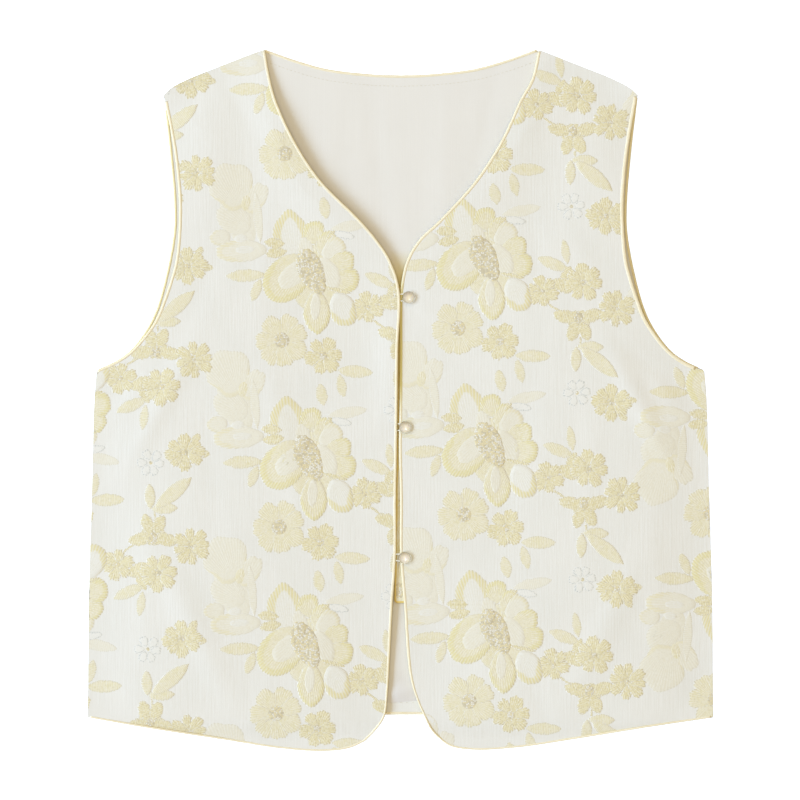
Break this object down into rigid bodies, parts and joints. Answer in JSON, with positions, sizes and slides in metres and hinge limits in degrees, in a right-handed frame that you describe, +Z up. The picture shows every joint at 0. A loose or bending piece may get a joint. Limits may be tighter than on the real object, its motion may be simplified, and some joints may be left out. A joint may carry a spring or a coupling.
{
  "type": "woven floral button vest",
  "caption": "Sleeveless V-necked vest in woven floral cloth with piped edges, rounded front corners and ball buttons in cord loops, laid flat on its back.",
  "frame": {"origin": "centre of the bounding box on the surface the vest lies on", "axes": "+X to the wearer's left, +Y towards the neck, +Z up off the surface, out of the fronts"},
  "size_m": [0.483, 0.5422, 0.0155],
  "materials": {
    "jacquard": "off-white woven ground with pale yellow floral figuring in raised thread",
    "lining": "plain off-white lining, soft matte",
    "piping": "pale yellow satin bias piping with a soft sheen",
    "cord": "pale cream satin cord",
    "pearl": "pearl lacquer, glossy"
  },
  "bodies": {
    "root": {"back": "jacquard", "back_lining": "lining", "back_hem_facing": "lining", "placket": "jacquard", "placket_piping": "piping", "piping_back_neck": "piping", "piping_back_hem": "piping", "front_right": "jacquard", "piping_front_right": "piping", "piping_armhole_right_back": "piping", "piping_armhole_right_front": "piping", "front_left": "jacquard", "piping_front_left": "piping", "piping_armhole_left_back": "piping", "piping_armhole_left_front": "piping", "button_1": "pearl", "loop_1": "cord", "button_2": "pearl", "loop_2": "cord", "button_3": "pearl", "loop_3": "cord"}
  },
  "joints": []
}
